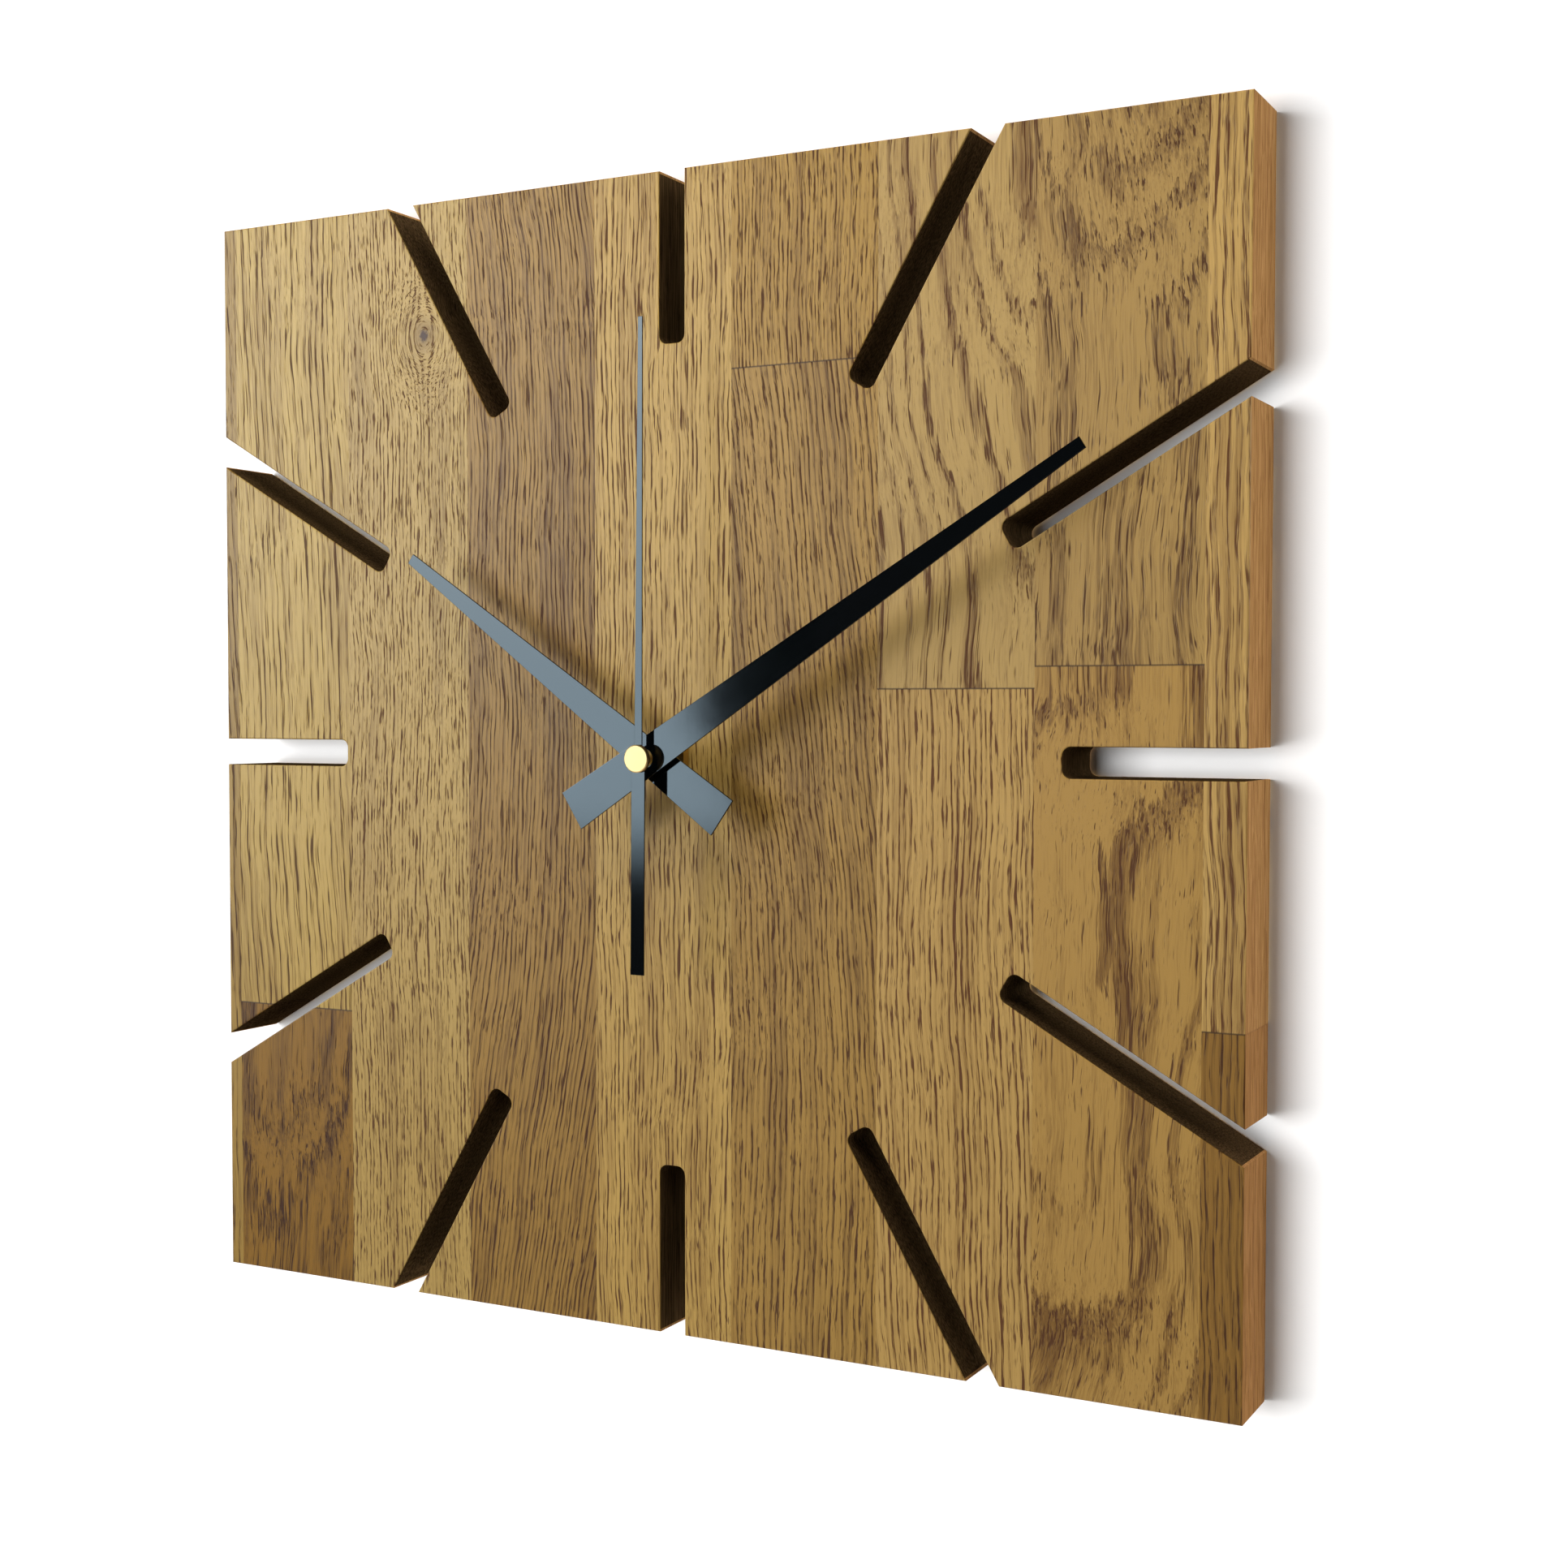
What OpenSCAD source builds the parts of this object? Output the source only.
// Square wall clock: an edge-glued board of staves with twelve radial
// hour slots, three tapered hands and a battery quartz movement let
// into the back.  Millimetres.  Origin at the dial centre on the wall
// plane, +X right, +Y into the wall, +Z up; the face looks along -Y.

/* [Board] */
// Side of the square board
board_side = 300; // [290:1:320]
// Thickness of the board
board_t = 20; // [20:0.5:24]
// Width of a full stave
stave_w = 40.8; // [40:0.1:41.5]
// Width of the narrow stave at the left edge
edge_stave_w = 4.3; // [3:0.1:6]
// Height of the butt joint in the second stave
joint_2_z = -72.8; // [-76:0.2:-70]
// Height of the butt joint in the sixth stave
joint_6_z = 98.2; // [96:0.2:102]
// Height of the butt joint in the seventh stave
joint_7_z = 17.4; // [12:0.2:24]
// Height of the butt joint in the eighth stave
joint_8_z = 22.6; // [16:0.2:28]
// Height of the butt joint in the ninth stave
joint_9_z = -60.8; // [-66:0.2:-50]

/* [Hour slots] */
// Number of slots round the dial
slot_count = 12; // [4:4:12]
// Width of a slot
slot_w = 7.4; // [6:0.2:9]
// Radius from the dial centre to a slot's inner end
slot_inner_r = 106; // [102:1:115]
// Corner radius at a slot's inner end
slot_corner_r = 2.2; // [1.5:0.1:2.8]

/* [Movement pocket] */
// Side of the square pocket in the back
pocket_side = 58.6; // [58:0.2:62]
// Wood left in front of the pocket
web_t = 3.5; // [3:0.1:4]
// Radius of the hole for the threaded bushing
web_hole_r = 4.3; // [4.2:0.1:4.6]

/* [Hanger] */
// Height of the entry hole of the keyhole above the dial centre
hanger_z = 68; // [60:1:76]
// Radius of the entry hole, for the head of the wall screw
keyhole_r = 4.5; // [4:0.1:5]
// Width of the slot above it, for the shank of the wall screw
keyslot_w = 4.5; // [4:0.1:4.6]
// Thickness of the steel plate
hanger_t = 1.5; // [1.2:0.1:2]

/* [Hands] */
// Length of the hour hand from the centre to its tip
hour_len = 91.7; // [80:0.5:95]
// Length of the hour hand's tail
hour_tail = 25.5; // [20:0.5:30]
// Length of the minute hand from the centre to its tip
minute_len = 136.3; // [120:0.5:145]
// Length of the minute hand's tail
minute_tail = 25.8; // [20:0.5:30]
// Length of the second hand from the centre to its tip
second_len = 110; // [100:0.5:120]
// Length of the second hand's tail
second_tail = 54.5; // [45:0.5:60]
// Clock angle of the hour hand, in degrees past twelve
hour_angle = 305.1; // [0:0.1:360]
// Clock angle of the minute hand, in degrees past twelve
minute_angle = 57.8; // [0:0.1:360]
// Clock angle of the second hand, in degrees past twelve
second_angle = 0.4; // [0:0.1:360]
// Thickness of the hour and minute hands
hand_t = 0.6; // [0.4:0.1:0.8]
// Radius of the centre cap
cap_r = 3.5; // [3:0.1:4]

/* [Movement] */
// Side of the square movement case
case_side = 56; // [56:0.2:57]
// Pressure angle of the gear teeth
pressure_angle = 25; // [24:1:26]
// Play between two meshing teeth
backlash = 0.08; // [0.06:0.01:0.1]
// Radius of the battery
cell_r = 6.95; // [6.8:0.05:6.95]

/* [Hidden] */

half = board_side / 2;
front = -board_t;
// edges of the full staves, from left to right
edge = [for (i = [0:7]) -half + edge_stave_w + i * stave_w];

// depths inside the movement, all on the Y axis
pocket_y = front + web_t;        // front end of the pocket
case_y0 = pocket_y + 0.8;        // outside of the case's front wall
wall_y = case_y0 + 1.2;          // inside of the case's front wall
cover_y = -1.7;                  // where the rear cover meets the case
bridge_y0 = -3.7;
bridge_y1 = -2.9;
case_in = case_side / 2 - 1.4;   // half the inside of the case

// tooth layers, front and back face of each
hour_y = [-14.3, -13.1];
motion_y = [-12.8, -11.6];
centre_y = [-11.3, -10.3];
third_y = [-10.0, -9.0];
second_y = [-8.7, -7.7];
inter_y = [-7.4, -6.4];
magnet_y = [-6.2, -4.2];
stator_y = [-5.7, -4.7];
core_y = [-4.7, -3.9];
board_y = [-5.0, -4.0];

// gear modules and centre distances
m_rotor = 0.3;
m_inter = 0.3;
d_third = 10.8;
m_third = 2 * d_third / 85;
m_centre = 2 * d_third / 90;
d_motion = 9.6;
m_cannon = 2 * d_motion / 48;
m_hour = 2 * d_motion / 50;
d_inter = m_inter * 35;
d_rotor = m_rotor * 30;

function polar(r, a) = [r * cos(a), r * sin(a)];
a_third = 60;
a_inter = 170;
a_rotor = 120;
a_minute = -10;
a_knob = 20;
c_third = polar(d_third, a_third);
c_inter = polar(d_inter, a_inter);
c_rotor = c_inter + polar(d_rotor, a_rotor);
c_minute = polar(d_motion, a_minute);
c_knob = c_minute + polar(d_motion, a_knob);

// angle of one tooth of gear B (nb teeth) that lies in mesh with gear A
// (na teeth, one tooth at angle pa) when B is seen from A at angle t
function mesh(t, na, pa, nb) =
  let (f = (t - pa) * na / 360, u = f - floor(f))
  t + 180 - (0.5 - u) * 360 / nb;

p_inter = mesh(a_rotor + 180, 10, 0, 50);
p_second = mesh(a_inter + 180, 10, 0, 60);
p_third = mesh(a_third, 10, 0, 75);
p_centre = mesh(a_third + 180, 10, 0, 80);
p_minute = mesh(a_minute, 12, 0, 36);
p_hour = mesh(a_minute + 180, 10, 0, 40);
p_knob = mesh(a_knob, 36, p_minute, 12);

// posts inside the case: [x, z, y of the top]
bridge_posts = [[-22, -8], [22, -8], [20, 12]];
stator_posts = [[-20, 21], [0, 21]];
board_posts = [[12, 23.8], [23.6, 17]];

arbor_r = 0.5;
pivot_r = 0.35;
pivot_hole_r = 0.4;
shaft_r = 0.5;
minute_bore_r = 0.56;
minute_pipe_r = 1.6;
hour_bore_r = 1.66;
hour_pipe_r = 2.55;
bushing_bore_r = 2.62;
bushing_r = 4;
stud_r = 0.8;
knob_shaft_r = 1.3;
knob_r = 5.5;

// heights of the hands
hour_hand_y = front - 11;
minute_hand_y = front - 13.6;
second_hand_y = front - 16.6;
second_hand_t = 0.4;
cap_y = front - 17.8;

cell_y = -7.35;
cell_z = -19.3;

// ---- helpers ----

// a flat outline drawn in X and Z, solid from y0 to y1
module slab(y0, y1) {
  translate([0, y1, 0]) rotate([90, 0, 0]) linear_extrude(y1 - y0) children();
}

// a round bar along Y
module rod(p, r, y0, y1, fn = 48) {
  translate([p[0], y1, p[1]]) rotate([90, 0, 0]) cylinder(r = r, h = y1 - y0, $fn = fn);
}

// a round bar along Y whose radius changes from r0 at y0 to r1 at y1
module cone_rod(p, r0, r1, y0, y1) {
  translate([p[0], y1, p[1]]) rotate([90, 0, 0]) cylinder(r1 = r1, r2 = r0, h = y1 - y0, $fn = 48);
}

module block(x0, x1, y0, y1, z0, z1) {
  translate([x0, y0, z0]) cube([x1 - x0, y1 - y0, z1 - z0]);
}

function arc(c, r, a0, a1, n = 6) = [for (i = [0:n]) c + polar(r, a0 + (a1 - a0) * i / n)];

function round_square(h, r) = concat(
  arc([h - r, h - r], r, 0, 90), arc([r - h, h - r], r, 90, 180),
  arc([r - h, r - h], r, 180, 270), arc([h - r, r - h], r, 270, 360));

// ---- gears ----

function involute(a) = tan(a) * 180 / PI - a;
// half the angle of a tooth at radius r
function tooth_half(m, n, r) =
  let (rp = m * n / 2, rb = rp * cos(pressure_angle), a = r <= rb ? 0 : acos(rb / r))
  90 / n - backlash / 4 / rp * 180 / PI + involute(pressure_angle) - involute(a);

function tooth_radii(m, n) =
  let (rp = m * n / 2, rb = rp * cos(pressure_angle), rr = rp - m)
  rb > rr + 0.02 ? [rr, rb, rp, rp + 0.8 * m] : [rr, rp, rp + 0.8 * m];

function gear_points(m, n, p) = let (rs = tooth_radii(m, n), k = len(rs))
  [for (i = [0:n - 1]) for (j = [0:2 * k - 1])
    let (r = rs[j < k ? j : 2 * k - 1 - j], s = j < k ? -1 : 1)
    polar(r, p + i * 360 / n + s * tooth_half(m, n, r))];

// a toothed disc on an arbor of radius bore_r
module gear(c, m, n, phase, bore_r, ys) {
  slab(ys[0], ys[1]) translate(c) difference() {
    polygon(gear_points(m, n, phase));
    circle(r = bore_r / cos(15) + 0.002, $fn = 12);
  }
}

module hub(c, r, bore_r, ys) {
  slab(ys[0], ys[1]) translate(c) difference() {
    circle(r = r, $fn = 12);
    circle(r = bore_r / cos(15) + 0.002, $fn = 12);
  }
}

// an arbor with a thinner pivot at each end
module arbor(c) {
  rod(c, arbor_r, wall_y + 0.15, bridge_y0 - 0.15, 32);
  rod(c, pivot_r, wall_y - 0.7, wall_y + 0.25, 32);
  rod(c, pivot_r, bridge_y0 - 0.25, bridge_y1 - 0.05, 32);
}

// ---- board ----

slot_outline = concat([[half * 1.6, -slot_w / 2], [half * 1.6, slot_w / 2]],
  arc([slot_inner_r + slot_corner_r, slot_w / 2 - slot_corner_r], slot_corner_r, 90, 180),
  arc([slot_inner_r + slot_corner_r, slot_corner_r - slot_w / 2], slot_corner_r, 180, 270));

module slots() {
  for (i = [0:slot_count - 1]) rotate(i * 360 / slot_count) polygon(slot_outline);
}

// one stave between two heights, with the slots cut through it
module stave(x0, x1, z0 = -half, z1 = half) {
  slab(front, 0) difference() {
    translate([x0, z0]) square([x1 - x0, z1 - z0]);
    slots();
  }
}

module movement_pocket() {
  slab(pocket_y, 1) polygon(round_square(pocket_side / 2, 3));
}

module stave_1() { color([0.72, 0.58, 0.38]) stave(-half, edge[0]); }
module stave_2_upper() { color([0.74, 0.6, 0.39]) stave(edge[0], edge[1], joint_2_z, half); }
module stave_2_lower() { color([0.5, 0.36, 0.21]) stave(edge[0], edge[1], -half, joint_2_z); }
module stave_3() { color([0.73, 0.59, 0.38]) stave(edge[1], edge[2]); }
module stave_4() {
  color([0.6, 0.45, 0.28]) difference() { stave(edge[2], edge[3]); movement_pocket(); }
}
module stave_5() {
  color([0.72, 0.57, 0.36]) difference() {
    stave(edge[3], edge[4]);
    movement_pocket();
    rod([0, 0], web_hole_r, front - 1, pocket_y + 1);
    // recess for the hanger plate and room for the head of the wall screw
    block(-16.1, 16.1, -hanger_t, 1, hanger_z - 7.1, hanger_z + 12.1);
    block(-6, 6, -9.5, -hanger_t + 0.5, hanger_z - 5.5, hanger_z + 11);
    for (s = [-1, 1]) rod([12 * s, hanger_z + 2.5], 1.32, -12, -hanger_t + 0.5, 32);
  }
}
module stave_6_upper() { color([0.64, 0.49, 0.3]) stave(edge[4], edge[5], joint_6_z, half); }
module stave_6_lower() {
  color([0.6, 0.46, 0.28]) difference() {
    stave(edge[4], edge[5], -half, joint_6_z);
    movement_pocket();
  }
}
module stave_7_upper() { color([0.68, 0.53, 0.34]) stave(edge[5], edge[6], joint_7_z, half); }
module stave_7_lower() { color([0.7, 0.56, 0.36]) stave(edge[5], edge[6], -half, joint_7_z); }
module stave_8_upper() { color([0.68, 0.53, 0.33]) stave(edge[6], edge[7], joint_8_z, half); }
module stave_8_lower() { color([0.66, 0.51, 0.32]) stave(edge[6], edge[7], -half, joint_8_z); }
module stave_9_upper() { color([0.67, 0.52, 0.33]) stave(edge[7], half, joint_9_z, half); }
module stave_9_lower() { color([0.58, 0.44, 0.27]) stave(edge[7], half, -half, joint_9_z); }

// ---- hanger ----

module hanger_plate() {
  color([0.75, 0.75, 0.77]) difference() {
    slab(-hanger_t, 0) translate([0, hanger_z + 2.5]) polygon([
      [-16, -8], [-14.5, -9.5], [14.5, -9.5], [16, -8],
      [16, 8], [14.5, 9.5], [-14.5, 9.5], [-16, 8]]);
    rod([0, hanger_z], keyhole_r, -hanger_t - 1, 1);
    rod([0, hanger_z + 7], keyslot_w / 2, -hanger_t - 1, 1);
    block(-keyslot_w / 2, keyslot_w / 2, -hanger_t - 1, 1, hanger_z, hanger_z + 7);
    for (s = [-1, 1]) {
      rod([12 * s, hanger_z + 2.5], 1.5, -hanger_t - 1, 1);
      cone_rod([12 * s, hanger_z + 2.5], 1.5, 2.95, -1.4, 0.05);
    }
  }
}

module hanger_screws() {
  color([0.8, 0.79, 0.76]) for (s = [-1, 1]) difference() {
    union() {
      rod([12 * s, hanger_z + 2.5], 1.3, -11.5, -0.9, 32);
      cone_rod([12 * s, hanger_z + 2.5], 1.3, 2.6, -1.4, -0.1);
    }
    block(12 * s - 1.5, 12 * s + 1.5, -0.7, 1, hanger_z + 2.2, hanger_z + 2.8);
    block(12 * s - 0.3, 12 * s + 0.3, -0.7, 1, hanger_z + 1, hanger_z + 4);
  }
}

// ---- movement case ----

module case_front() {
  ch = case_side / 2;
  color([0.09, 0.09, 0.1]) difference() {
    union() {
      difference() {
        block(-ch, ch, case_y0, cover_y, -ch, ch);
        block(-case_in, case_in, wall_y, 1, -case_in, case_in);
      }
      // wall between the battery and the wheels
      difference() {
        block(-case_in - 0.5, case_in + 0.5, wall_y - 0.5, cover_y, -12, -11.2);
        block(-case_in - 0.01, -25.8, -6.3, 0, -13, -10);
        block(25.8, case_in + 0.01, -6.3, 0, -13, -10);
      }
      for (p = bridge_posts) rod(p, 1.6, wall_y - 0.5, bridge_y0);
      for (p = stator_posts) rod(p, 1.5, wall_y - 0.5, stator_y[0]);
      for (p = board_posts) rod(p, 1.5, wall_y - 0.5, board_y[0]);
    }
    rod([0, 0], bushing_r + 0.02, case_y0 - 1, 0);
    rod([0, 0], 5.52, wall_y - 0.8, 0);
    for (p = bridge_posts) rod(p, 0.62, -8, 0, 32);
    for (p = stator_posts) rod(p, 0.62, -9, 0, 32);
    for (p = board_posts) rod(p, 0.62, -9, 0, 32);
    for (c = [c_third, c_inter, c_rotor]) rod(c, pivot_hole_r, wall_y - 0.8, wall_y + 1, 32);
    rod(c_knob, 0.56, wall_y - 0.8, wall_y + 1, 32);
    rod(c_minute, stud_r + 0.01, wall_y - 0.8, wall_y + 1, 32);
  }
}

module rear_cover() {
  ch = case_side / 2;
  color([0.1, 0.1, 0.11]) {
    difference() {
      union() {
        block(-ch, ch, cover_y, -0.5, -ch, ch);
        // tabs that locate the cover inside the case
        for (x = [-25.4, 23.9], z = [-5, 18]) block(x, x + 1.5, cover_y - 0.5, cover_y + 0.3, z, z + 5);
      }
      block(-case_in, case_in, cover_y - 1, 1, -case_in, -12);
      rod(c_knob, knob_r + 0.5, cover_y - 1, 1);
    }
  }
}

module rubber_washer() {
  color([0.05, 0.05, 0.05]) difference() {
    rod([0, 0], 9, pocket_y, case_y0);
    rod([0, 0], 4.2, pocket_y - 1, case_y0 + 1);
  }
}

module threaded_bushing() {
  color([0.78, 0.66, 0.36]) difference() {
    union() {
      rod([0, 0], bushing_r, front - 8.5, wall_y);
      rod([0, 0], 5.5, wall_y - 0.8, wall_y);
    }
    rod([0, 0], bushing_bore_r, front - 9.5, wall_y + 1);
  }
}

module hex_nut() {
  color([0.8, 0.68, 0.38]) difference() {
    slab(front - 2.6, front) rotate(30) circle(r = 5 / cos(30), $fn = 6);
    rod([0, 0], bushing_r + 0.02, front - 4, front + 1);
  }
}

// ---- battery and contacts ----

module battery() {
  color([0.16, 0.17, 0.18]) translate([0, cell_y, cell_z]) rotate([0, 90, 0]) {
    translate([0, 0, -24.9]) cylinder(r = cell_r, h = 49.3, $fn = 64);
    translate([0, 0, 24.3]) cylinder(r = 2.7, h = 1.2, $fn = 48);
  }
}

module negative_contact() {
  color([0.8, 0.8, 0.79]) {
    block(-26.5, -26.2, -12.5, -2.5, -25, -13.4);
    translate([-26.3, cell_y, cell_z]) rotate([0, 90, 0]) cylinder(r1 = 3.4, r2 = 1.6, h = 1.25, $fn = 32);
    block(-26.5, -26.2, -6, -4.2, -14, 26.2);
    block(-26.5, 10, -6, -4.2, 25.9, 26.2);
    block(8.7, 10, -4.3, -3.7, 25.9, 26.2);
    block(8.7, 10, board_y[1], -3.7, 24.2, 26.2);
  }
}

module positive_contact() {
  color([0.8, 0.8, 0.79]) {
    block(26.2, 26.5, -12.5, -2.5, -25, -13.4);
    translate([25.65, cell_y, cell_z]) rotate([0, 90, 0]) cylinder(r1 = 2, r2 = 2.4, h = 0.65, $fn = 32);
    block(26.2, 26.5, -6, -4.2, -14, 22);
    block(26.2, 26.5, -6, -3.7, 20, 22);
    block(23.8, 26.5, board_y[1], -3.7, 20, 22);
  }
}

// ---- electronics and motor ----

module circuit_board() {
  color([0.1, 0.32, 0.17]) difference() {
    block(8.5, 25.8, board_y[0], board_y[1], 15, 25.8);
    for (p = board_posts) rod(p, 0.7, board_y[0] - 1, board_y[1] + 1, 32);
  }
}

module timing_chip() {
  color([0.05, 0.05, 0.05]) cone_rod([17.5, 18.6], 2.3, 1.5, board_y[1], board_y[1] + 0.8);
}

module quartz_crystal() {
  color([0.82, 0.82, 0.84]) translate([14.5, board_y[1] + 0.95, 22.8]) rotate([0, 90, 0]) cylinder(r = 0.95, h = 6, $fn = 32);
}

coil_z = 21;
coil_y = (core_y[0] + core_y[1]) / 2;

module coil_bobbin() {
  color([0.85, 0.84, 0.78]) difference() {
    translate([0, coil_y, coil_z]) rotate([0, 90, 0]) {
      translate([0, 0, -17.4]) cylinder(r = 2.45, h = 0.6, $fn = 48);
      translate([0, 0, -3]) cylinder(r = 2.45, h = 0.6, $fn = 48);
      translate([0, 0, -17.2]) cylinder(r = 1.5, h = 14.6, $fn = 48);
    }
    block(-18, -2, core_y[0] - 0.03, core_y[1] + 0.03, coil_z - 1.03, coil_z + 1.03);
  }
}

module coil_winding() {
  color([0.72, 0.4, 0.2]) difference() {
    translate([-16.78, coil_y, coil_z]) rotate([0, 90, 0]) cylinder(r = 2.25, h = 13.76, $fn = 48);
    translate([-18, coil_y, coil_z]) rotate([0, 90, 0]) cylinder(r = 1.52, h = 17, $fn = 48);
  }
}

module coil_core() {
  color([0.6, 0.61, 0.63]) difference() {
    block(-22, 2, core_y[0], core_y[1], coil_z - 1, coil_z + 1);
    for (p = stator_posts) rod(p, 0.7, -8, 0, 32);
  }
}

module coil_leads() {
  color([0.72, 0.4, 0.2]) for (z = [19.3, 22.7])
    translate([-2.39, board_y[1] + 0.16, z]) rotate([0, 90, 0]) cylinder(r = 0.15, h = 12.2, $fn = 16);
}

module stator_plate() {
  color([0.62, 0.63, 0.65]) difference() {
    slab(stator_y[0], stator_y[1]) polygon([[-22, 6.8], [2, 6.8], [2, 23],
      [-2, 23], [-2, 12.6], [-18, 12.6], [-18, 23], [-22, 23]]);
    rod(c_rotor, 2, -8, 0);
    for (p = stator_posts) rod(p, 0.7, -8, 0, 32);
  }
}

module train_bridge() {
  color([0.86, 0.85, 0.8]) difference() {
    block(-24.5, 24.5, bridge_y0, bridge_y1, -10.6, 14);
    rod([0, 0], minute_bore_r, -5, -1, 32);
    for (c = [c_third, c_inter, c_rotor]) rod(c, pivot_hole_r, -5, -1, 32);
    rod(c_knob, knob_shaft_r + 0.06, -5, -1, 32);
    for (p = bridge_posts) rod(p, 0.7, -5, -1, 32);
  }
}

// one small pan head screw whose head rests on the plane y
module small_screw(p, y) {
  difference() {
    union() {
      rod(p, 1.35, y, y + 0.6, 32);
      rod(p, 0.6, y - 4, y + 0.2, 32);
    }
    block(p[0] - 1, p[0] + 1, y + 0.3, y + 1, p[1] - 0.15, p[1] + 0.15);
  }
}

module movement_screws() {
  color([0.7, 0.7, 0.72]) {
    for (p = bridge_posts) small_screw(p, bridge_y1);
    for (p = stator_posts) small_screw(p, core_y[1]);
    for (p = board_posts) small_screw(p, board_y[1]);
  }
}

// ---- wheel train ----

module rotor_magnet() {
  color([0.3, 0.3, 0.32]) difference() {
    rod(c_rotor, 1.6, magnet_y[0], magnet_y[1]);
    rod(c_rotor, arbor_r + 0.01, magnet_y[0] - 1, magnet_y[1] + 1, 32);
  }
}
module rotor_pinion() { color([0.93, 0.92, 0.86]) gear(c_rotor, m_rotor, 10, 0, arbor_r, [inter_y[0], magnet_y[0]]); }
module rotor_arbor() { color([0.7, 0.71, 0.73]) arbor(c_rotor); }

module intermediate_wheel() {
  color([0.93, 0.92, 0.86]) {
    gear(c_inter, m_rotor, 50, p_inter, arbor_r, inter_y);
    gear(c_inter, m_inter, 10, 0, arbor_r, [second_y[0], inter_y[0] + 0.2]);
  }
}
module intermediate_arbor() { color([0.7, 0.71, 0.73]) arbor(c_inter); }

module second_wheel() {
  color([0.93, 0.92, 0.86]) {
    gear([0, 0], m_inter, 60, p_second, shaft_r, second_y);
    gear([0, 0], m_third, 10, 0, shaft_r, [third_y[0], third_y[1]]);
    hub([0, 0], 1, shaft_r, [third_y[1] - 0.2, second_y[0] + 0.2]);
  }
}
module second_shaft() { color([0.7, 0.71, 0.73]) rod([0, 0], shaft_r, second_hand_y + 0.1, bridge_y1 - 0.05); }

module third_wheel() {
  color([0.93, 0.92, 0.86]) {
    gear(c_third, m_third, 75, p_third, arbor_r, third_y);
    gear(c_third, m_centre, 10, 0, arbor_r, [centre_y[0] - 0.1, third_y[0] + 0.2]);
  }
}
module third_arbor() { color([0.7, 0.71, 0.73]) arbor(c_third); }

module centre_wheel() { color([0.93, 0.92, 0.86]) gear([0, 0], m_centre, 80, p_centre, minute_pipe_r, centre_y); }
module cannon_pinion() { color([0.93, 0.92, 0.86]) gear([0, 0], m_cannon, 12, 0, minute_pipe_r, motion_y); }
module minute_pipe() {
  color([0.8, 0.68, 0.38]) difference() {
    rod([0, 0], minute_pipe_r, minute_hand_y, centre_y[1] + 0.1);
    rod([0, 0], minute_bore_r, minute_hand_y - 1, 0);
  }
}

module minute_wheel() {
  color([0.93, 0.92, 0.86]) {
    gear(c_minute, m_cannon, 36, p_minute, stud_r + 0.06, motion_y);
    gear(c_minute, m_hour, 10, 0, stud_r + 0.06, [hour_y[0], motion_y[0] + 0.2]);
  }
}
module minute_wheel_stud() { color([0.7, 0.71, 0.73]) rod(c_minute, stud_r, wall_y - 0.8, motion_y[1] + 0.1, 32); }

module hour_wheel() { color([0.93, 0.92, 0.86]) gear([0, 0], m_hour, 40, p_hour, hour_pipe_r, hour_y); }
module hour_pipe() {
  color([0.8, 0.68, 0.38]) difference() {
    rod([0, 0], hour_pipe_r, hour_hand_y, hour_y[1]);
    rod([0, 0], hour_bore_r, hour_hand_y - 1, 0);
  }
}

module setting_knob() {
  color([0.93, 0.92, 0.88]) {
    difference() {
      slab(cover_y + 0.1, -0.4) translate(c_knob) polygon([for (i = [0:47]) polar(knob_r - (i % 2) * 0.35, i * 7.5)]);
      slab(-0.9, 1) translate(c_knob) polygon(concat(arc([0, 0], 3.9, -80, 80, 8), arc([0, 0], 2.2, 80, -80, 8)));
      slab(-0.9, 1) translate(c_knob) polygon(concat(arc([0, 0], 3.9, 100, 260, 8), arc([0, 0], 2.2, 260, 100, 8)));
    }
    rod(c_knob, knob_shaft_r, wall_y + 0.2, cover_y + 0.3, 32);
    rod(c_knob, arbor_r, wall_y - 0.7, wall_y + 0.4, 32);
  }
}
module setting_pinion() { color([0.93, 0.92, 0.86]) gear(c_knob, m_cannon, 12, p_knob, knob_shaft_r, motion_y); }

// ---- hands ----

// a tapered blade: tail width w0, tip width w1, clock angle a
module blade(tail, len, w0, w1, a, y, t, hole_r) {
  difference() {
    slab(y, y + t) rotate(-a) polygon([[-w0 / 2, -tail], [w0 / 2, -tail], [w1 / 2, len], [-w1 / 2, len]]);
    rod([0, 0], hole_r, y - 1, y + t + 1);
  }
}

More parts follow.
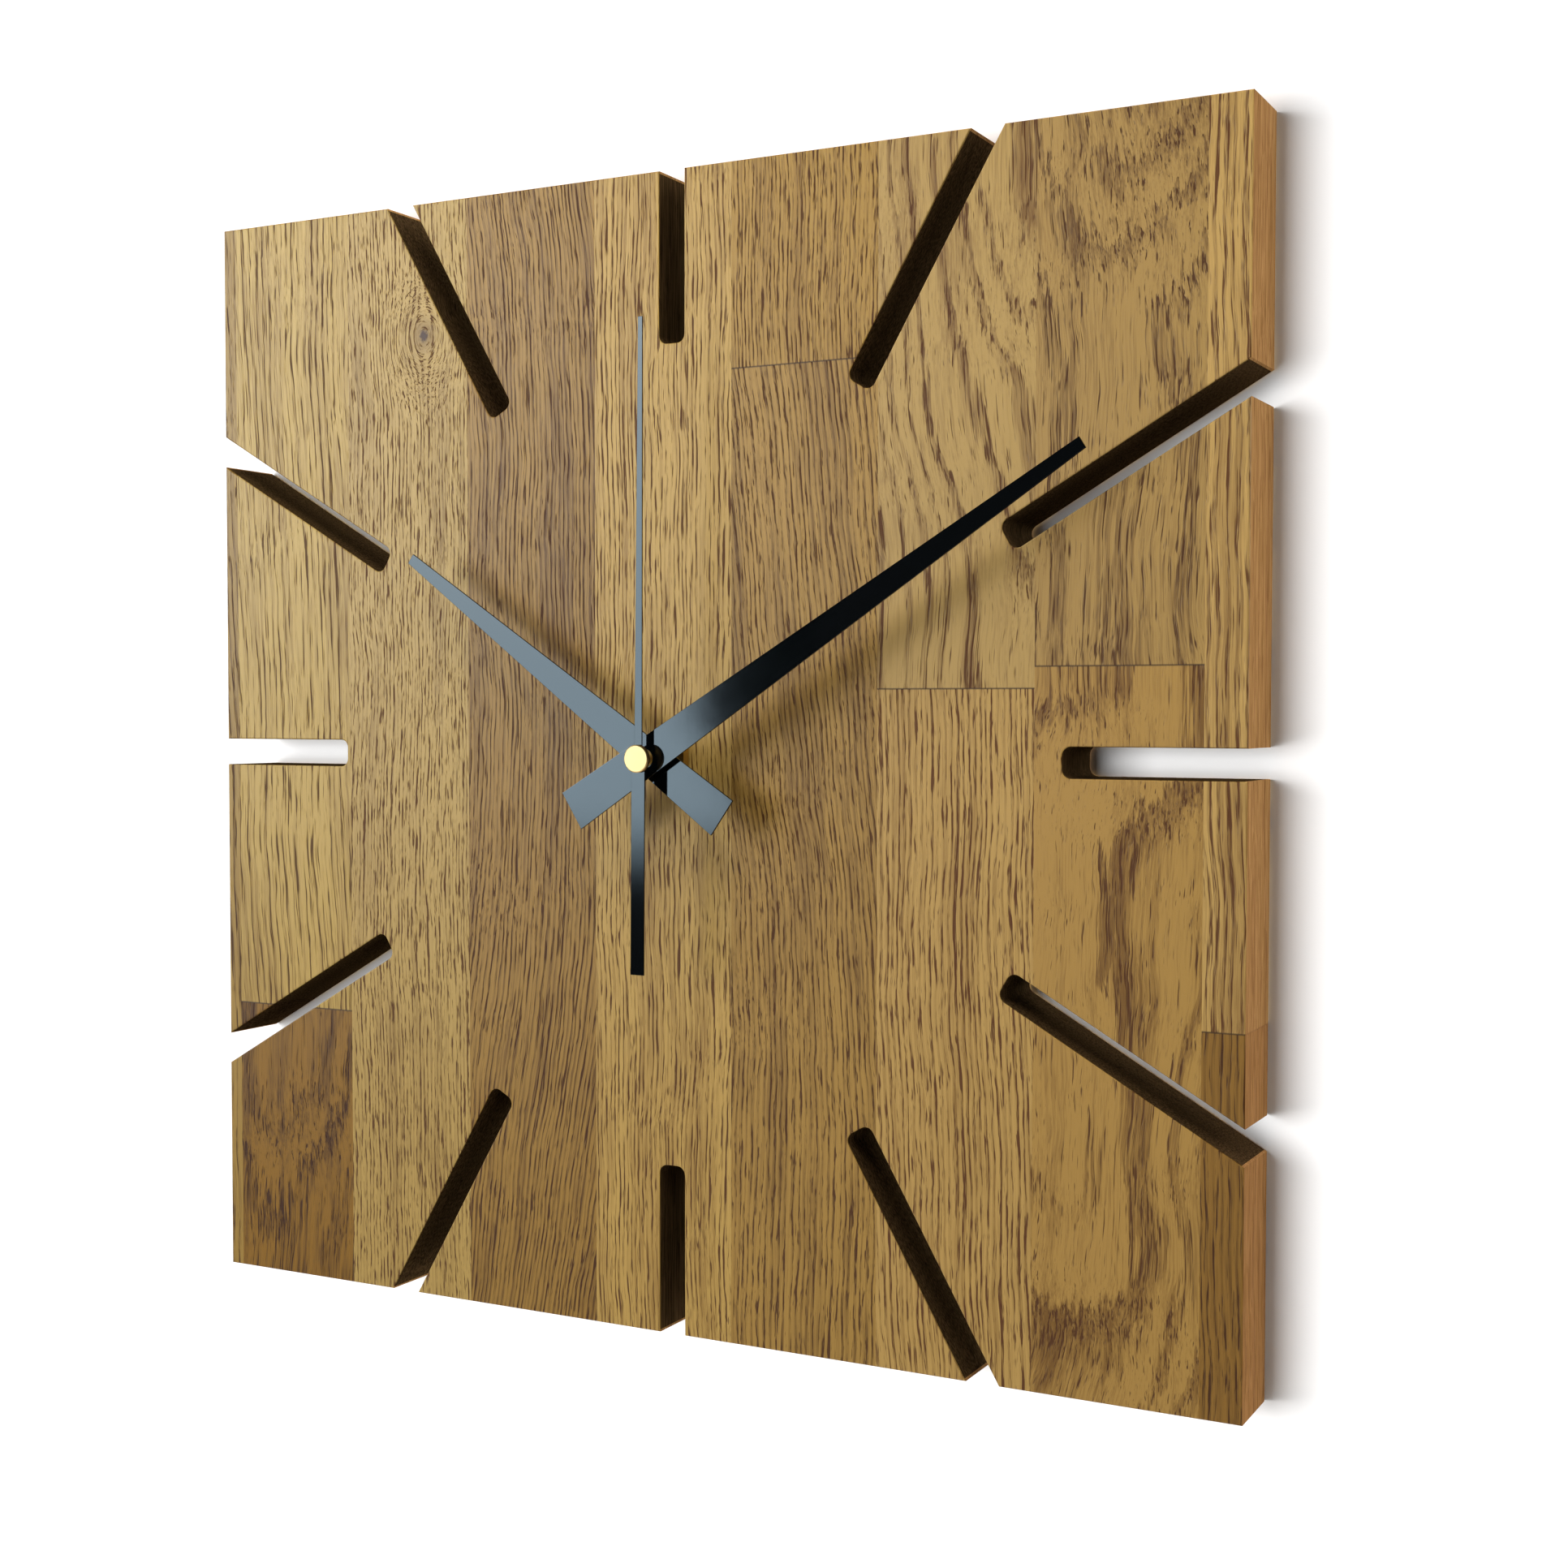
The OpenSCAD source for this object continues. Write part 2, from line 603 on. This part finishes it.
module hour_hand() {
  color([0.03, 0.04, 0.05]) blade(hour_tail, hour_len, 10.7, 2.9, hour_angle, hour_hand_y, hand_t, 3.22);
}
module hour_collet() {
  color([0.8, 0.68, 0.38]) difference() {
    union() {
      rod([0, 0], 3.2, hour_hand_y, hour_hand_y + 2.1);
      rod([0, 0], 4.2, hour_hand_y + hand_t, hour_hand_y + 1.2);
    }
    rod([0, 0], hour_pipe_r + 0.01, hour_hand_y - 1, 0);
  }
}
module minute_hand() {
  color([0.03, 0.04, 0.05]) blade(minute_tail, minute_len, 10.8, 3, minute_angle, minute_hand_y, hand_t, 2.42);
}
module minute_collet() {
  color([0.8, 0.68, 0.38]) difference() {
    union() {
      rod([0, 0], 2.4, minute_hand_y, minute_hand_y + 2);
      rod([0, 0], 3.4, minute_hand_y + hand_t, minute_hand_y + 1.2);
    }
    rod([0, 0], minute_pipe_r + 0.01, minute_hand_y - 1, 0);
  }
}
module second_hand() {
  color([0.03, 0.04, 0.05]) difference() {
    slab(second_hand_y, second_hand_y + second_hand_t) rotate(-second_angle) polygon([
      [-1.95, -second_tail], [1.95, -second_tail], [1.95, -1], [1.1, 1.5],
      [0.65, second_len], [-0.65, second_len], [-1.1, 1.5], [-1.95, -1]]);
    rod([0, 0], 0.92, second_hand_y - 1, second_hand_y + 2, 32);
  }
}
module second_collet() {
  color([0.8, 0.68, 0.38]) difference() {
    union() {
      rod([0, 0], 0.9, second_hand_y, second_hand_y + 2.2, 32);
      rod([0, 0], 1.5, second_hand_y + second_hand_t, second_hand_y + 1.2, 32);
    }
    rod([0, 0], shaft_r + 0.01, second_hand_y - 1, 0);
  }
}
module centre_cap() {
  color([0.93, 0.86, 0.6]) translate([0, second_hand_y, 0]) rotate([90, 0, 0]) rotate_extrude($fn = 96)
    polygon([[0, 0], [cap_r, 0], [cap_r, 0.95], [cap_r - 0.25, 1.2], [0, 1.2]]);
}

stave_1();
stave_2_upper();
stave_2_lower();
stave_3();
stave_4();
stave_5();
stave_6_upper();
stave_6_lower();
stave_7_upper();
stave_7_lower();
stave_8_upper();
stave_8_lower();
stave_9_upper();
stave_9_lower();
hanger_plate();
hanger_screws();
case_front();
rear_cover();
rubber_washer();
threaded_bushing();
hex_nut();
battery();
negative_contact();
positive_contact();
circuit_board();
timing_chip();
quartz_crystal();
coil_bobbin();
coil_winding();
coil_core();
coil_leads();
stator_plate();
train_bridge();
movement_screws();
rotor_magnet();
rotor_pinion();
rotor_arbor();
intermediate_wheel();
intermediate_arbor();
second_wheel();
second_shaft();
third_wheel();
third_arbor();
centre_wheel();
cannon_pinion();
minute_pipe();
minute_wheel();
minute_wheel_stud();
hour_wheel();
hour_pipe();
setting_knob();
setting_pinion();
hour_hand();
hour_collet();
minute_hand();
minute_collet();
second_hand();
second_collet();
centre_cap();
